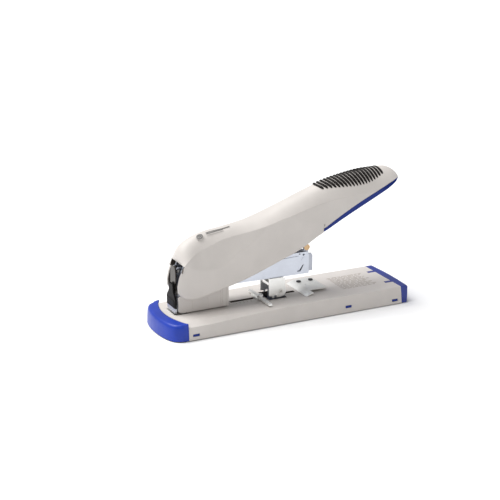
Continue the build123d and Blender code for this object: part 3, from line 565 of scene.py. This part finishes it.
# ------------------------------------------------------------- softened CAD pieces
for n, w, s in (("base_housing", 0.5, 3), ("rear_cap", 0.5, 3), ("magazine_housing", 0.3, 2), ("rear_plate", 0.18, 2),
                ("paper_gauge", 0.22, 2), ("frame_channel", 0.2, 2), ("inner_channel", 0.2, 2),
                ("hinge_legs", 0.22, 2), ("hinge_bracket", 0.2, 2), ("head_plate", 0.25, 2),
                ("grip_underplate", 0.5, 3), ("drive_lever", 0.2, 2), ("driver_blade", 0.12, 2),
                ("anvil_plate", 0.2, 2), ("handle_arm", 0.2, 2)):
    soft = soften(n, w, s)
    if n == "base_housing":
        # faces inside the deck slot and well and under the deck take the painted shade material
        soft.data.materials.append(M["grey_dark"])
        for p in soft.data.polygons:
            x, y, z = p.center.x / MM - SX, p.center.y / MM, p.center.z / MM
            if z < 17.3 and abs(y) < 14.5 and 2.0 < x < 232.5:
                p.material_index = 1

# ------------------------------------------------------------- printed and moulded marks, no lettering
def patch(quads, key, body, name):
    verts, faces = [], []
    for pts in quads:
        a = len(verts)
        verts += pts
        faces.append(tuple(range(a, a + len(pts))))
    return mesh_obj(name, verts, faces, key, body)


def bar_on_top(x0, x1, y, w, n=10):
    quads = []
    for k in range(n):
        xa, xb = x0 + (x1 - x0) * k / n, x0 + (x1 - x0) * (k + 1) / n
        q = []
        for x, yy in ((xa, y - w), (xb, y - w), (xb, y + w), (xa, y + w)):
            p, nn = surf(x, yy)
            q.append(V(*(p + nn * 0.06)))
        quads.append(q)
    return quads


marks = bar_on_top(33.0, 58.0, -4.2, 0.5) + bar_on_top(33.0, 50.0, -6.2, 0.4)
for ring_r, ring_w in ((2.6, 0.55), (1.0, 0.5)):
    for k in range(24):
        a0, a1 = 2 * math.pi * k / 24, 2 * math.pi * (k + 1) / 24
        q = []
        for r, a in ((ring_r - ring_w, a0), (ring_r + ring_w, a0), (ring_r + ring_w, a1), (ring_r - ring_w, a1)):
            p, nn = surf(26.0 + r * math.cos(a), -5.4 + r * math.sin(a))
            q.append(V(*(p + nn * 0.06)))
        marks.append(q)
patch(marks, "ink", "handle", "cover_mark")
deck = []


def flat_bar(x0, x1, y0, y1, z=17.53):
    deck.append([V(x0, y0, z), V(x1, y0, z), V(x1, y1, z), V(x0, y1, z)])


LENGTHS = (4.2, 6.1, 3.0, 5.4, 7.0, 3.6, 4.8, 6.4, 2.6, 5.0)
step = 0
for row in range(12):
    y = 16.8 - 3.05 * row
    x, end = 178.0 + 0.3 * (row % 3), 219.0 - (row * 7 % 5) * 1.6
    while x < end:
        length = min(LENGTHS[step % 10], end - x)
        flat_bar(x, x + length, y, y + 1.15)
        x += length + 1.3
        step += 1
for x in (64.0, 68.0, 72.0, 76.0, 80.0):
    flat_bar(x, x + 0.5, -7.6, -4.6)
patch(deck, "deck_mark", "base", "deck_marks")

# ------------------------------------------------------------- springs copied from the CAD nodes
def spring(node):
    """A copy of a CAD spring, painted and attached to the body of its node."""
    ob = bpy.data.objects.new(node + "_coil", NODES[node].data.copy())
    ob.matrix_world = NODES[node].matrix_world.copy()
    sc0 = bpy.context.scene.collection
    sc0.objects.link(ob)
    paint(ob, BY_NODE[node])
    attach(ob, BODY_OF[node])
    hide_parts(node)
    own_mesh(ob)
    return ob


spring("return_spring")
spring("pusher_spring")

# ------------------------------------------------------------- stage, light, camera
sc = bpy.context.scene
bm = bmesh.new()
R = 7.0
ring = [bm.verts.new((R * math.cos(a * math.pi / 24), R * math.sin(a * math.pi / 24), 0)) for a in range(48)]
bm.faces.new(ring)
me = bpy.data.meshes.new("floor")
bm.to_mesh(me)
bm.free()
floor = bpy.data.objects.new("floor", me)
sc.collection.objects.link(floor)
floor.data.materials.append(M["floor"])

w = bpy.data.worlds.new("studio")
sc.world = w
w.use_nodes = True
bg = w.node_tree.nodes["Background"]
bg.inputs["Color"].default_value = (1.0, 1.0, 1.0, 1)
bg.inputs["Strength"].default_value = 0.44


def area(name, loc, target, size, power, color=(1, 1, 1)):
    l = bpy.data.lights.new(name, "AREA")
    l.shape = "RECTANGLE"
    l.size, l.size_y = size
    l.energy = power
    l.color = color
    o = bpy.data.objects.new(name, l)
    sc.collection.objects.link(o)
    o.location = loc
    o.rotation_euler = (Vector(target) - Vector(loc)).to_track_quat("-Z", "Y").to_euler()
    return o


sun = bpy.data.lights.new("sky_panel", "SUN")
sun.energy = 3.35
sun.angle = math.radians(48)
so = bpy.data.objects.new("sky_panel", sun)
sc.collection.objects.link(so)
so.rotation_euler = Vector((0.45, -0.30, -1.0)).to_track_quat("-Z", "Y").to_euler()
area("left_key", (-1.0, 0.5, 1.0), (-0.05, 0, 0.05), (0.7, 0.7), 1.5)

cam = bpy.data.cameras.new("camera")
cam.sensor_width = 36.0
cam.lens = 1333.472 * 36.0 / 500.0
cam.clip_start, cam.clip_end = 0.05, 20
co = bpy.data.objects.new("camera", cam)
sc.collection.objects.link(co)
az, el, D = math.radians(-26.049), math.radians(18.301), 1.3
b = Vector((math.sin(az) * math.cos(el), -math.cos(az) * math.cos(el), math.sin(el)))
aim = V(81.959, 0, 68.033)
co.location = aim + b * D
co.rotation_euler = (-b).to_track_quat("-Z", "Y").to_euler()
sc.camera = co
sc.view_settings.view_transform = "Standard"
